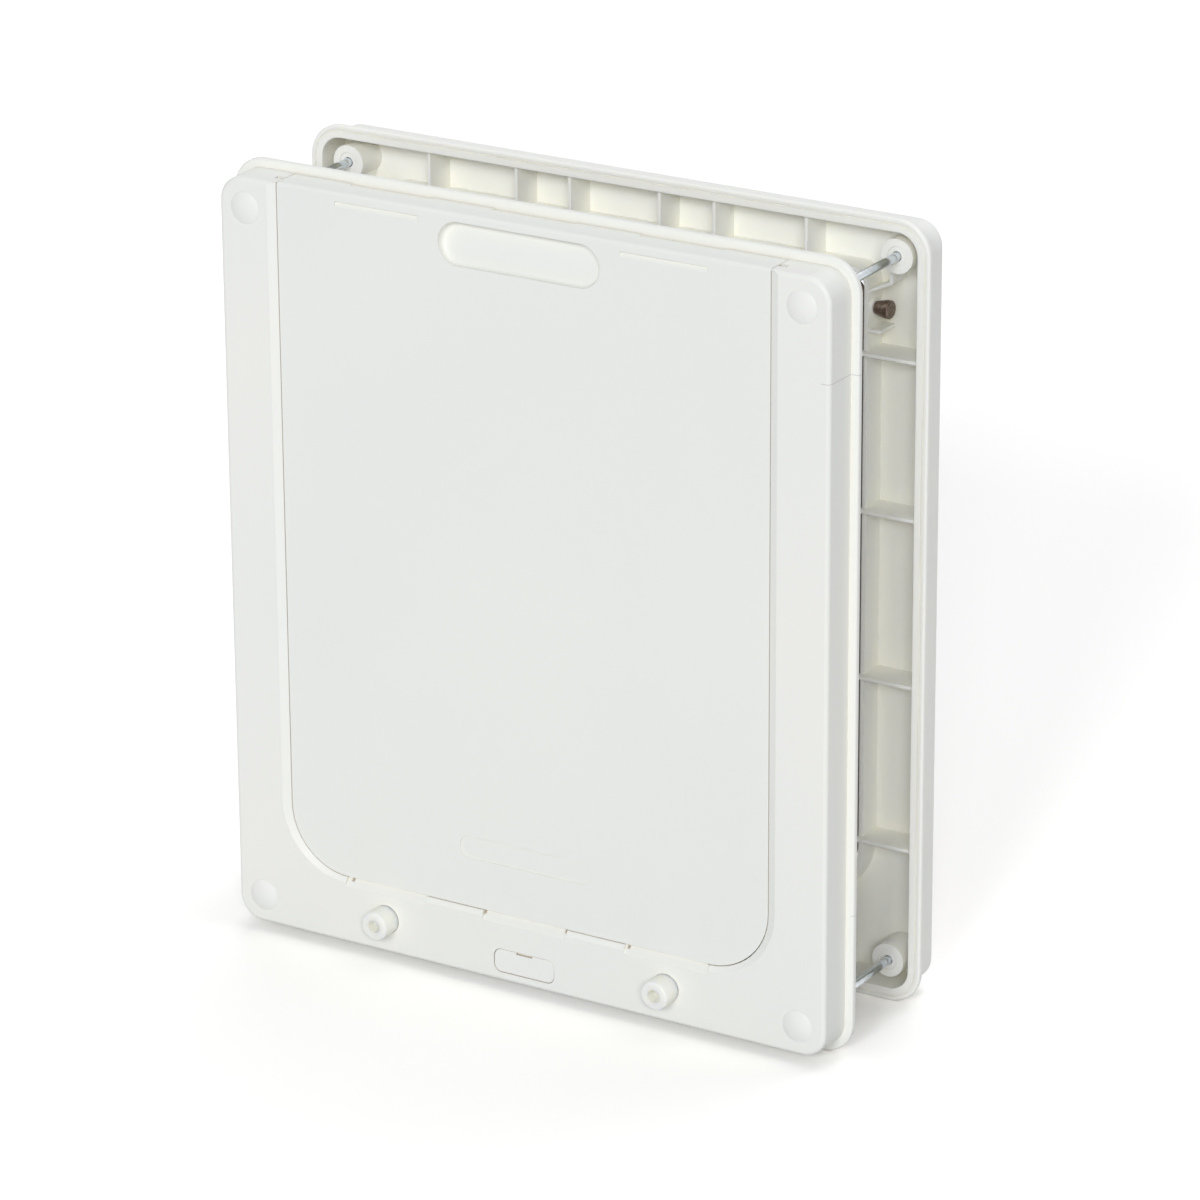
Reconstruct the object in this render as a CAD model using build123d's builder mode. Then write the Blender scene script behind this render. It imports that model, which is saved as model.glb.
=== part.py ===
from build123d import *
import os

# Dog door for a leaf up to 70 mm thick: two ribbed frames clamped together by four long
# bolts, a flap hung in the rear frame and a closing panel slid into the front frame.
# X is the width, Y runs from the front frame to the rear one, Z is up. The origin is the
# middle of the space that the whole door takes, on the ground. Millimetres throughout.

# Both frames
frame_w = 400.0
frame_h = 460.0
flange_r = 20.0
flange_t = 4.0
flange_step = 5.0
flange_edge_r = 1.2
groove_in = 2.6
groove_w = 0.8
groove_sink = 0.6
shell_depth = 22.0
draft = 1.0
face_edge_r = 2.5
least_corner_r = 1.0
plate_t = 2.5
wall = 2.5
leaf_gap = 73.0

# Room round what moves or drops in, and how far a cut runs past what it cuts
fit_gap = 0.2
drop_gap = 2.0
cut_over = 1.0
cut_over_top = 5.0

# Opening that the animal goes through, and the short tunnel round it
opening_half = 156.0
opening_foot = 50.0
opening_head = 424.0
opening_foot_r = 36.0
opening_head_r = 8.0
tunnel_depth = 18.5

# Clamp bolts and the bosses that take them
bolt_inset = 22.5
bolt_d = 5.0
bolt_clear_d = 5.6
bolt_head_d = 9.0
bolt_head_h = 3.4
bolt_head_edge_r = 1.0
boss_d = 20.0
boss_depth = 22.0
boss_dish_d = 11.0
boss_dish = 0.5
bolt_seat = 8.5
cap_bore_d = 10.2
nut_flats = 8.0
nut_pocket_flats = 8.3
nut_t = 4.0

# Caps over the bolt heads and nuts
cap_d = 18.6
cap_rise = 2.0
cap_plug_d = 9.8
cap_plug_l = 4.0

# Stiffening ribs
rib_t = 2.0
rib_setback = 3.0
shelf_z = (92.0, 190.0, 288.0, 379.0)
tab_pitch = 93.0
tab_w = 54.4
pocket_half = 28.0

# Closing panel
panel_half = 157.3
panel_foot = 46.0
panel_r = 38.0
panel_set_in = 2.0
panel_t = 2.5
panel_clear = 0.5
panel_edge_r = 2.1
bevel_side = 5.0
bevel_foot = 3.0
mouth_drop = 5.0
mouth_sink = 3.6
notch_x = (-116.5, -27.0, 27.0, 68.0)
notch_w = 1.7
notch_h = 2.1
notch_sink = 3.5
skirt_t = 2.0
tongue_front = 9.0
tongue_t = 2.5
tongue_half = 162.4
tongue_foot = 92.0
tongue_head = 449.0
tab_foot = 17.0
middle_tab_foot = 31.0
slot_x = 91.6
slot_z = 448.0
slot_h = 3.3
slot_sink = 1.6
recess_w = 103.0
recess_h = 25.0
recess_z = 437.5
recess_depth = 8.0
recess_lip = 3.0
recess_floor_r = 2.6
recess_wall = 1.5
plaque_w = 86.0
plaque_h = 13.0
plaque_z = 82.3
plaque_sink = 0.5
return_t = 2.5
pad_w = 52.0
pad_depth = 4.0
pad_sink = 0.6
back_rib_x = (-79.0, 0.0, 79.0)
back_rib_head = 405.0
back_rib_z = (140.0, 235.0, 330.0)

# Locking pegs under the panel
peg_z = 26.0
peg_d = 17.0
peg_out = 13.4
peg_edge_r = 1.0
peg_bore_d = 17.16
peg_hole_d = 7.2
peg_hole_depth = 6.0
peg_head_sink = 0.5
shank_d = 8.0
shank_bore_d = 8.8
sleeve_d = 22.0
bush_d = 14.0
bush_l = 7.0

# Oval cover in the middle of the bottom rail
oval_z = 18.0
oval_w = 39.5
oval_h = 13.9
oval_r = 4.6
oval_t = 2.0
oval_clear = 0.3
oval_edge_r = 0.4
oval_seat_edge = 3.0
oval_plug_in = 3.3
oval_notch_w = 10.5
oval_notch_h = 1.4

# Flap and its hinge
hinge_z = 403.5
hinge_depth = 13.0
flap_half = 152.5
flap_foot = 53.5
flap_head = 417.0
flap_foot_r = 33.0
flap_head_r = 5.0
flap_t = 3.0
flap_bar_d = 8.0
hub_d = 11.0
hub_l = 18.0
journal_d = 6.04
journal_bore_d = 6.2
pin_neck_d = 7.2
pin_head_d = 10.4
pin_head_l = 9.7
pin_taper_l = 6.5
pin_chamfer = 0.7
hinge_boss_d = 11.0
hinge_boss_l = 2.0
hinge_rib_out = 7.0
hinge_rib_up = 8.5
hinge_rib_down = 11.0
gusset_out = 14.0
gusset_rise = 8.0

# Draught brushes and magnets
brush_base_w = 8.0
brush_base_t = 1.4
brush_w = 3.6
brush_clear = 0.5
brush_foot = 92.0
brush_head = 385.0
brush_sill_half = 112.0
magnet_w = 40.0
magnet_h = 8.0
magnet_t = 3.2
magnet_edge_r = 1.0
flap_magnet_z = 61.0

# Worked-out sizes
frame_depth = shell_depth + flange_t
body_depth = 2 * frame_depth + leaf_gap
front_face_y = peg_out - (peg_out + body_depth + cap_rise) / 2
rear_face_y = front_face_y + body_depth
root_w = frame_w - 2 * flange_step
root_h = frame_h - 2 * flange_step
root_r = flange_r - flange_step
inner_half = root_w / 2 - wall
inner_foot = flange_step + wall
inner_head = frame_h - flange_step - wall
rib_depth = frame_depth - rib_setback
bolt_x = frame_w / 2 - bolt_inset
bolt_points = [(x, z) for x in (-bolt_x, bolt_x) for z in (bolt_inset, frame_h - bolt_inset)]
tab_points = (-tab_pitch, 0.0, tab_pitch)
peg_points = ((-tab_pitch, peg_z), (tab_pitch, peg_z))
panel_head = frame_h - flange_step - fit_gap
guide_half = panel_half + panel_clear
guide_foot = panel_foot - panel_clear
groove_front = tongue_front - panel_clear
tongue_back = tongue_front + tongue_t
ledge_front = tongue_back + panel_clear
ledge_back = ledge_front + wall
band_half = tongue_half + panel_clear + wall
band_foot = guide_foot - wall
rail_top = panel_head - return_t - panel_clear
over_top = frame_h + cut_over_top
hinge_y = rear_face_y - hinge_depth
tunnel_x = opening_half + wall
hinge_rib_half = (hinge_rib_out + rib_t) / 2
pin_head_x = tunnel_x + hinge_boss_l
cradle_foot = opening_foot - wall - magnet_h
magnet_back = hinge_depth + magnet_h / 2

# A side is the Y of a frame's outer face and the direction from there to the other frame
FRONT = (front_face_y, 1)
REAR = (rear_face_y, -1)


def level(side, depth):
    """Plane parallel to a frame's outer face, depth behind it and facing the other frame."""
    face_y, inward = side
    return Plane(origin=(0, face_y + inward * depth, 0), x_dir=(-inward, 0, 0), z_dir=(0, inward, 0))


def window(half_w, foot, head, foot_r, head_r=0.0):
    """Upright rectangle with round lower corners and, where a radius is given, round upper ones."""
    with BuildSketch() as outline:
        with Locations((0, (foot + head) / 2)):
            Rectangle(2 * half_w, head - foot)
        fillet(outline.vertices().group_by(Axis.Y)[0], foot_r)
        if head_r:
            fillet(outline.vertices().group_by(Axis.Y)[-1], head_r)
    return outline.sketch


def opening_outline(grow=0.0):
    """Outline of the animal's opening, grown outwards by the wall that stands round it."""
    foot_r = opening_foot_r + grow
    head_r = opening_head_r + grow
    return window(opening_half + grow, opening_foot - grow, opening_head + grow, foot_r, head_r)


def slab(side, front, back, half_w, foot, head, x=0.0):
    """Box between two depths of a frame."""
    with BuildPart() as box:
        with BuildSketch(level(side, front)):
            with Locations((x, (foot + head) / 2)):
                Rectangle(2 * half_w, head - foot)
        extrude(amount=back - front)
    return box.part


def ring_of_rectangles(outer_in, inner_in, corner_r):
    """Band between two rounded rectangles, given by how far each lies inside the frame's outline."""
    with BuildSketch() as band:
        with Locations((0, frame_h / 2)):
            RectangleRounded(frame_w - 2 * outer_in, frame_h - 2 * outer_in, corner_r)
            inner_r = max(corner_r - (inner_in - outer_in), least_corner_r)
            RectangleRounded(frame_w - 2 * inner_in, frame_h - 2 * inner_in, inner_r, mode=Mode.SUBTRACT)
    return band.sketch


def frame_shell(side):
    """Moulding that both frames share: face plate, wall, flange, tunnel, ribs and bosses."""
    with BuildPart() as shell:
        # Clamping flange with softened edges
        with BuildSketch(level(side, shell_depth)):
            with Locations((0, frame_h / 2)):
                RectangleRounded(frame_w, frame_h, flange_r)
        extrude(amount=flange_t)
        fillet(shell.edges().group_by(Axis.Y)[0] + shell.edges().group_by(Axis.Y)[-1], flange_edge_r)

        # Drafted body with a rounded face edge
        with BuildSketch(level(side, shell_depth)):
            with Locations((0, frame_h / 2)):
                RectangleRounded(root_w, root_h, root_r)
        extrude(amount=-shell_depth, taper=draft)
        face = shell.faces().sort_by(Axis.Y)[0 if side is FRONT else -1]
        fillet(face.edges(), face_edge_r)
        with BuildSketch(level(side, plate_t)):
            with Locations((0, frame_h / 2)):
                RectangleRounded(2 * inner_half, inner_head - inner_foot, root_r - wall)
        extrude(amount=frame_depth, mode=Mode.SUBTRACT)
        with BuildSketch(level(side, frame_depth - groove_sink)):
            add(ring_of_rectangles(groove_in, groove_in + groove_w, flange_r - groove_in))
        extrude(amount=groove_sink, mode=Mode.SUBTRACT)

        # Tunnel wall
        with BuildSketch(level(side, plate_t / 2)):
            add(opening_outline(wall))
        extrude(amount=tunnel_depth - plate_t / 2)

        # Shelves across the stiles, and ribs across the rails on both sides of each tab pocket
        stile_x = (opening_half + inner_half) / 2
        with BuildSketch(level(side, plate_t / 2)):
            with Locations([(x, z) for x in (-stile_x, stile_x) for z in shelf_z]):
                Rectangle(inner_half - opening_half, rib_t)
            for foot, head in ((inner_foot, opening_foot), (opening_head, inner_head)):
                for tab in tab_points:
                    for end in (-1, 1):
                        with Locations((tab + end * (pocket_half + rib_t / 2), (foot + head) / 2)):
                            Rectangle(rib_t, head - foot + rib_t)
        extrude(amount=rib_depth - plate_t / 2)

        # Bosses for the clamp bolts
        with BuildSketch(level(side, plate_t / 2)):
            with Locations(bolt_points):
                Circle(boss_d / 2)
        extrude(amount=boss_depth - plate_t / 2)
        with BuildSketch(level(side, boss_depth - boss_dish)):
            with Locations(bolt_points):
                Circle(boss_dish_d / 2)
        extrude(amount=boss_dish, mode=Mode.SUBTRACT)

        # The opening and the bolt holes go right through
        with BuildSketch(level(side, 0)):
            add(opening_outline())
            with Locations(bolt_points):
                Circle(bolt_clear_d / 2)
        extrude(amount=frame_depth, mode=Mode.SUBTRACT)
    return shell.part


def ramped_cut(x, face_y, foot, head, sink, half_w):
    """Cutter for a notch whose floor ramps down from the lower edge to its full depth at the upper one."""
    with BuildPart() as cutter:
        with BuildSketch(Plane.YZ.offset(x)):
            with BuildLine():
                Polyline((face_y, foot), (face_y + sink, head), (face_y, head), close=True)
            make_face()
        extrude(amount=half_w, both=True)
    return cutter.part


def rounded_plate(grow, front, back):
    """Plate with the oval cover's outline, grown or shrunk, between two depths of the front frame."""
    with BuildPart() as plate:
        with BuildSketch(level(FRONT, front)):
            with Locations((0, oval_z)):
                RectangleRounded(oval_w + 2 * grow, oval_h + 2 * grow, oval_r + grow)
        extrude(amount=back - front)
    return plate.part


def round_post(side, points, front, back, diameter):
    """Round posts, or cutters for round holes, between two depths of a frame."""
    with BuildPart() as posts:
        with BuildSketch(level(side, front)):
            with Locations(points):
                Circle(diameter / 2)
        extrude(amount=back - front)
    return posts.part


# Front frame: opened for the panel, with its guides, tab pockets and peg sleeves
front_shell = frame_shell(FRONT)
with BuildPart() as front_frame:
    add(front_shell)

    # Guide band round the opening, and the lowered top rail that the panel's return lies over
    with BuildSketch(level(FRONT, plate_t / 2)):
        add(window(band_half, band_foot, rail_top, panel_r + bevel_side))
        add(opening_outline(), mode=Mode.SUBTRACT)
    extrude(amount=ledge_back - plate_t / 2)
    add(slab(FRONT, ledge_front, shell_depth + cut_over, band_half, rail_top - wall, rail_top))

    # Back walls and floors of the three pockets that the panel's tabs drop into
    for tab, foot in zip(tab_points, (tab_foot, middle_tab_foot, tab_foot)):
        pocket_w = pocket_half + rib_t
        floor = foot - drop_gap
        add(slab(FRONT, ledge_front, ledge_back, pocket_w, floor - rib_t, guide_foot, tab))
        add(slab(FRONT, plate_t / 2, ledge_back, pocket_w, floor - rib_t, floor, tab))

    # Sleeves that the locking pegs slide in, and bushes that take their shanks
    add(round_post(FRONT, peg_points, plate_t / 2, groove_front, sleeve_d))
    add(round_post(FRONT, peg_points, ledge_front, ledge_front + bush_l, bush_d))

    # Seat of the oval cover
    add(rounded_plate(oval_seat_edge, plate_t / 2, oval_t + plate_t))

    # Window for the panel, open at the top and bevelled round its edge
    with BuildSketch(level(FRONT, -cut_over)):
        add(window(guide_half, guide_foot, over_top, panel_r + panel_clear))
    extrude(amount=ledge_front + cut_over, mode=Mode.SUBTRACT)
    add(slab(FRONT, 0, shell_depth, guide_half, rail_top, over_top), mode=Mode.SUBTRACT)
    with BuildSketch(level(FRONT, 0)):
        add(window(guide_half + bevel_side, guide_foot - bevel_foot, over_top, panel_r + bevel_side))
    with BuildSketch(level(FRONT, panel_set_in)):
        add(window(guide_half, guide_foot, over_top, panel_r + panel_clear))
    loft(ruled=True, mode=Mode.SUBTRACT)

    # Grooves that the panel's tongues run in, open at the top
    groove_outer = tongue_half + panel_clear
    groove_half = (groove_outer - opening_half) / 2
    for end in (-1, 1):
        x = end * (groove_outer + opening_half) / 2
        groove = slab(FRONT, groove_front, ledge_front, groove_half, tongue_foot - drop_gap, frame_h, x)
        add(groove, mode=Mode.SUBTRACT)

    # Mouths of the tab pockets, each with a deeper bevel on the rail's edge above it
    for tab in tab_points:
        mouth_foot = band_foot - cut_over
        mouth = slab(FRONT, groove_front, ledge_front, pocket_half, mouth_foot, guide_foot + cut_over, tab)
        add(mouth, mode=Mode.SUBTRACT)
        bevel = ramped_cut(tab, front_face_y, guide_foot - mouth_drop, guide_foot, mouth_sink, tab_w / 2)
        add(bevel, mode=Mode.SUBTRACT)

    # Small notches in the rail's edge, at the ends of the tabs
    notch_back = panel_set_in + notch_sink
    notch_foot = guide_foot - notch_h
    for x in notch_x:
        add(slab(FRONT, 0, notch_back, notch_w / 2, notch_foot, guide_foot, -x), mode=Mode.SUBTRACT)

    # Bores for the pegs and their shanks
    add(round_post(FRONT, peg_points, -cut_over, ledge_front, peg_bore_d), mode=Mode.SUBTRACT)
    add(round_post(FRONT, peg_points, tongue_front, frame_depth, shank_bore_d), mode=Mode.SUBTRACT)

    # Rebate and hole for the oval cover
    add(rounded_plate(oval_clear, 0, oval_t + fit_gap), mode=Mode.SUBTRACT)
    add(rounded_plate(-oval_seat_edge, 0, 2 * plate_t), mode=Mode.SUBTRACT)

    # Bolt heads sit at the bottom of the cap bores
    add(round_post(FRONT, bolt_points, -cut_over, bolt_seat, cap_bore_d), mode=Mode.SUBTRACT)
front_frame.part.label = "front_frame"

# Rear frame: with the flap's hinge supports, nut pockets and the sill magnet's cradle
rear_shell = frame_shell(REAR)
with BuildPart() as rear_frame:
    add(rear_shell)
    above = hinge_z + hinge_rib_up
    below = hinge_z - hinge_rib_down
    gusset_head = above + gusset_rise
    for end in (-1, 1):
        rib_x = end * (tunnel_x + hinge_rib_out / 2)
        web_x = end * (tunnel_x + gusset_out)
        root_x = end * (tunnel_x - wall / 2)
        add(slab(REAR, plate_t / 2, tunnel_depth, hinge_rib_half, below - rib_t, below, rib_x))
        add(slab(REAR, plate_t / 2, tunnel_depth, rib_t / 2, gusset_head, frame_h - bolt_inset, web_x))
        with BuildSketch(level(REAR, plate_t / 2)):
            with BuildLine():
                Polyline(
                    (root_x, above),
                    (web_x + end * rib_t / 2, gusset_head),
                    (web_x + end * rib_t / 2, gusset_head + rib_t),
                    (root_x, above + rib_t),
                    close=True,
                )
            make_face()
        extrude(amount=tunnel_depth - plate_t / 2)
        with BuildSketch(Plane.YZ.offset(end * (tunnel_x - wall / 2))):
            with Locations((hinge_y, hinge_z)):
                Circle(hinge_boss_d / 2)
        extrude(amount=end * (hinge_boss_l + wall / 2))
    cradle_half = magnet_w / 2 + rib_t
    add(slab(REAR, plate_t / 2, magnet_back, cradle_half, cradle_foot - rib_t, cradle_foot))

    # Bevelled edge of the opening
    with BuildSketch(level(REAR, 0)):
        add(opening_outline(bevel_foot))
    with BuildSketch(level(REAR, panel_set_in)):
        add(opening_outline())
    loft(ruled=True, mode=Mode.SUBTRACT)

    # Bores for the hinge pins
    with BuildSketch(Plane.YZ):
        with Locations((hinge_y, hinge_z)):
            Circle(journal_bore_d / 2)
    extrude(amount=pin_head_x + cut_over, both=True, mode=Mode.SUBTRACT)

    # Nuts sit in hexagonal pockets under the cap bores
    nut_front = bolt_seat - nut_t
    add(round_post(REAR, bolt_points, -cut_over, nut_front, cap_bore_d), mode=Mode.SUBTRACT)
    with BuildSketch(level(REAR, nut_front)):
        with Locations(bolt_points):
            RegularPolygon(nut_pocket_flats / 2, 6, major_radius=False)
    extrude(amount=nut_t, mode=Mode.SUBTRACT)
rear_frame.part.label = "rear_frame"

# Closing panel
with BuildPart() as finger_scoop:
    with BuildSketch(level(FRONT, panel_set_in)):
        with Locations((0, recess_z)):
            SlotOverall(recess_w, recess_h)
    extrude(amount=recess_depth)
    ramp_foot = (0, front_face_y + panel_set_in + recess_lip, recess_z - recess_h / 2)
    ramp_rise = recess_depth - recess_lip
    ramp = Plane(origin=ramp_foot, x_dir=(1, 0, 0), z_dir=(0, recess_h, -ramp_rise))
    split(bisect_by=ramp, keep=Keep.BOTTOM)
    fillet(finger_scoop.faces().sort_by(Axis.Y)[-1].edges(), recess_floor_r)

with BuildPart() as closing_panel:
    # Face plate, with its top edge rounded into the return that covers the top rail
    with BuildSketch(level(FRONT, panel_set_in)):
        add(window(panel_half, panel_foot, panel_head, panel_r))
    extrude(amount=panel_t)
    return_back = shell_depth - 2 * panel_clear
    add(slab(FRONT, panel_set_in, return_back, panel_half, panel_head - return_t, panel_head))
    top_edge = closing_panel.edges().filter_by(Axis.X).group_by(Axis.Y)[0].sort_by(Axis.Z)[-1]
    fillet(top_edge, panel_edge_r)

    # Skirt behind the edge, and the tongues and tabs on the back of it
    with BuildSketch(level(FRONT, panel_set_in + panel_t / 2)):
        add(window(panel_half, panel_foot, tongue_head, panel_r))
        skirt_foot = panel_foot + skirt_t
        inner = window(panel_half - skirt_t, skirt_foot, tongue_head, panel_r - skirt_t)
        add(inner, mode=Mode.SUBTRACT)
    extrude(amount=tongue_back - panel_set_in - panel_t / 2)
    tongue_w = tongue_half - panel_half + skirt_t
    for end in (-1, 1):
        x = end * (tongue_half - tongue_w / 2)
        add(slab(FRONT, tongue_front, tongue_back, tongue_w / 2, tongue_foot, tongue_head, x))
    for tab, foot in zip(tab_points, (tab_foot, middle_tab_foot, tab_foot)):
        add(slab(FRONT, tongue_front, tongue_back, tab_w / 2, foot, panel_foot + 3 * skirt_t, tab))

    # Ribs behind the plate
    rib_span = back_rib_head - panel_foot
    with BuildSketch(level(FRONT, panel_set_in + panel_t / 2)):
        with Locations([(x, panel_foot + rib_span / 2) for x in back_rib_x]):
            Rectangle(rib_t, rib_span - skirt_t)
        with Locations([(0, z) for z in back_rib_z]):
            Rectangle(2 * panel_half - skirt_t, rib_t)
    extrude(amount=tongue_front - panel_set_in - panel_t / 2)

    # Housing behind the finger recess
    housing_foot = recess_z - recess_h / 2 - skirt_t
    housing_back = panel_set_in + recess_depth + recess_wall
    housing_half = recess_w / 2 + skirt_t
    housing_front = panel_set_in + panel_t / 2
    add(slab(FRONT, housing_front, housing_back, housing_half, housing_foot, panel_head - return_t / 2))
    add(finger_scoop.part, mode=Mode.SUBTRACT)

    # Ramped slots near the top edge, the sunk plaque, the pads on the return and the peg holes
    for x in (-slot_x, slot_x):
        panel_face_y = front_face_y + panel_set_in
        slot_foot = slot_z - slot_h / 2
        slot = ramped_cut(x, panel_face_y, slot_foot, slot_foot + slot_h, slot_sink, tab_w / 2)
        add(slot, mode=Mode.SUBTRACT)
    with BuildSketch(level(FRONT, panel_set_in)):
        with Locations((0, plaque_z)):
            SlotOverall(plaque_w, plaque_h)
    extrude(amount=plaque_sink, mode=Mode.SUBTRACT)
    for tab in tab_points:
        pad_foot = panel_head - pad_sink
        pad_back = return_back + cut_over
        pad = slab(FRONT, return_back - pad_depth, pad_back, pad_w / 2, pad_foot, over_top, tab)
        add(pad, mode=Mode.SUBTRACT)
    add(round_post(FRONT, peg_points, groove_front, ledge_front, shank_bore_d), mode=Mode.SUBTRACT)
closing_panel.part.label = "closing_panel"

# Locking pegs: a hollow-ended head in the sleeve and a thinner shank that goes through the tab
pegs = []
for name, (x, z) in zip(("left", "right"), peg_points):
    with BuildPart() as peg:
        with BuildSketch(level(FRONT, -peg_out)):
            with Locations((-x, z)):
                Circle(peg_d / 2)
        extrude(amount=peg_out + peg_head_sink)
        fillet(peg.edges().filter_by(GeomType.CIRCLE).group_by(Axis.Y)[0], peg_edge_r)
        with BuildSketch(level(FRONT, 0)):
            with Locations((-x, z)):
                Circle(shank_d / 2)
        extrude(amount=groove_front)
        with BuildSketch(level(FRONT, -peg_out)):
            with Locations((-x, z)):
                Circle(peg_hole_d / 2)
        extrude(amount=peg_hole_depth, mode=Mode.SUBTRACT)
    peg.part.label = f"locking_peg_{name}"
    pegs.append(peg.part)

# Oval cover with a pry notch in its upper edge
with BuildPart() as oval_cover:
    add(rounded_plate(0, fit_gap, oval_t + fit_gap))
    with BuildSketch(level(FRONT, fit_gap)):
        with Locations((0, oval_z + oval_h / 2)):
            Rectangle(oval_notch_w, 2 * oval_notch_h)
    extrude(amount=oval_t, mode=Mode.SUBTRACT)
    fillet(oval_cover.faces().sort_by(Axis.Y)[0].edges(), oval_edge_r)
    add(rounded_plate(-oval_plug_in, oval_t, 2 * plate_t))
oval_cover.part.label = "oval_cover"

# Clamp bolts, their nuts, and the caps on both faces
bolts = []
nuts = []
caps = []
bolt_length = body_depth - bolt_seat - (bolt_seat - nut_t)
for number, (x, z) in enumerate(bolt_points, start=1):
    with BuildPart() as bolt:
        with BuildSketch(level(FRONT, bolt_seat)):
            with Locations((-x, z)):
                Circle(bolt_d / 2)
        extrude(amount=bolt_length)
        with BuildSketch(level(FRONT, bolt_seat)):
            with Locations((-x, z)):
                Circle(bolt_head_d / 2)
        extrude(amount=-bolt_head_h)
        fillet(bolt.edges().filter_by(GeomType.CIRCLE).group_by(Axis.Y)[0], bolt_head_edge_r)
    bolt.part.label = f"clamp_bolt_{number}"
    bolts.append(bolt.part)

    with BuildPart() as nut:
        with BuildSketch(level(REAR, bolt_seat - nut_t)):
            with Locations((x, z)):
                RegularPolygon(nut_flats / 2, 6, major_radius=False)
                Circle(bolt_d / 2, mode=Mode.SUBTRACT)
        extrude(amount=nut_t)
    nut.part.label = f"clamp_nut_{number}"
    nuts.append(nut.part)

    for side, name, mirrored in ((FRONT, "front", -1), (REAR, "rear", 1)):
        with BuildPart() as cap:
            face_y, inward = side
            with BuildSketch(Plane(origin=(x, face_y, z), x_dir=(1, 0, 0), z_dir=(0, 0, -inward))):
                with BuildLine():
                    dome = ThreePointArc((-cap_d / 2, 0), (0, cap_rise), (cap_d / 2, 0))
                    Line(dome @ 1, dome @ 0)
                make_face()
                with Locations((-cap_d / 4, cap_rise / 2)):
                    Rectangle(cap_d / 2, cap_rise, mode=Mode.SUBTRACT)
            revolve(axis=Axis((x, face_y, z), (0, 1, 0)))
            with BuildSketch(level(side, 0)):
                with Locations((mirrored * x, z)):
                    Circle(cap_plug_d / 2)
            extrude(amount=cap_plug_l)
        cap.part.label = f"screw_cap_{name}_{number}"
        caps.append(cap.part)

# Flap: a stiff sheet with a bar along its hinge line and a hub at each end of it
with BuildPart() as flap:
    with BuildSketch(level(REAR, hinge_depth - flap_t / 2)):
        add(window(flap_half, flap_foot, flap_head, flap_foot_r, flap_head_r))
    extrude(amount=flap_t)
    with BuildSketch(Plane.YZ):
        with Locations((hinge_y, hinge_z)):
            Circle(flap_bar_d / 2)
    extrude(amount=flap_half, both=True)
    for end in (-1, 1):
        with BuildSketch(Plane.YZ.offset(end * (flap_half - hub_l / 2))):
            with Locations((hinge_y, hinge_z)):
                Circle(hub_d / 2)
        extrude(amount=hub_l / 2, both=True)
        with BuildSketch(Plane.YZ.offset(end * (flap_half - hub_l / 2))):
            with Locations((hinge_y, hinge_z)):
                Circle(journal_bore_d / 2)
        extrude(amount=hub_l / 2 + cut_over, both=True, mode=Mode.SUBTRACT)
flap.part.label = "flap"

# Hinge pins, pushed in from outside the tunnel
pins = []
for name, end in (("left", -1), ("right", 1)):
    with BuildPart() as pin:
        with BuildSketch(Plane(origin=(0, hinge_y, hinge_z), x_dir=(end, 0, 0), z_dir=(0, 0, 1))):
            with BuildLine():
                Polyline(
                    (flap_half - hub_l, 0),
                    (flap_half - hub_l, journal_d / 2),
                    (pin_head_x, journal_d / 2),
                    (pin_head_x, pin_neck_d / 2),
                    (pin_head_x + pin_taper_l, pin_head_d / 2),
                    (pin_head_x + pin_head_l - pin_chamfer, pin_head_d / 2),
                    (pin_head_x + pin_head_l, pin_head_d / 2 - pin_chamfer),
                    (pin_head_x + pin_head_l, 0),
                    close=True,
                )
            make_face()
        revolve(axis=Axis((0, hinge_y, hinge_z), (1, 0, 0)))
    pin.part.label = f"hinge_pin_{name}"
    pins.append(pin.part)

# Draught brushes: a holder with a narrower row of bristles, on the tunnel's sides and sill
brushes = []
side_l = brush_head - brush_foot
side_z = (brush_head + brush_foot) / 2
bristle_side = opening_half - flap_half - brush_clear
bristle_sill = flap_foot - opening_foot - brush_clear
for name, end in (("left", -1), ("right", 1)):
    with BuildPart() as brush:
        with BuildSketch(Plane.YZ.offset(end * opening_half)):
            with Locations((hinge_y, side_z)):
                Rectangle(brush_base_w, side_l)
        extrude(amount=-end * brush_base_t)
        with BuildSketch(Plane.YZ.offset(end * opening_half)):
            with Locations((hinge_y, side_z)):
                Rectangle(brush_w, side_l)
        extrude(amount=-end * bristle_side)
    brush.part.label = f"draught_brush_{name}"
    brushes.append(brush.part)
with BuildPart() as sill_brush:
    with BuildSketch(Plane.XY.offset(opening_foot)):
        with Locations((0, hinge_y)):
            Rectangle(2 * brush_sill_half, brush_base_w)
    extrude(amount=brush_base_t)
    with BuildSketch(Plane.XY.offset(opening_foot)):
        with Locations((0, hinge_y)):
            Rectangle(2 * brush_sill_half, brush_w)
    extrude(amount=bristle_sill)
sill_brush.part.label = "draught_brush_sill"
brushes.append(sill_brush.part)

# Magnets that hold the flap shut
with BuildPart() as flap_magnet:
    add(
        slab(
            REAR,
            hinge_depth + flap_t / 2,
            hinge_depth + flap_t / 2 + magnet_t,
            magnet_w / 2,
            flap_magnet_z - magnet_h / 2,
            flap_magnet_z + magnet_h / 2,
        )
    )
    fillet(flap_magnet.edges().filter_by(Axis.Y), magnet_edge_r)
flap_magnet.part.label = "flap_magnet"

with BuildPart() as sill_magnet:
    add(
        slab(
            REAR,
            hinge_depth - magnet_h / 2,
            hinge_depth + magnet_h / 2,
            magnet_w / 2,
            cradle_foot,
            cradle_foot + magnet_h,
        )
    )
    fillet(sill_magnet.edges().filter_by(Axis.Z), magnet_edge_r)
sill_magnet.part.label = "sill_magnet"

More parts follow.
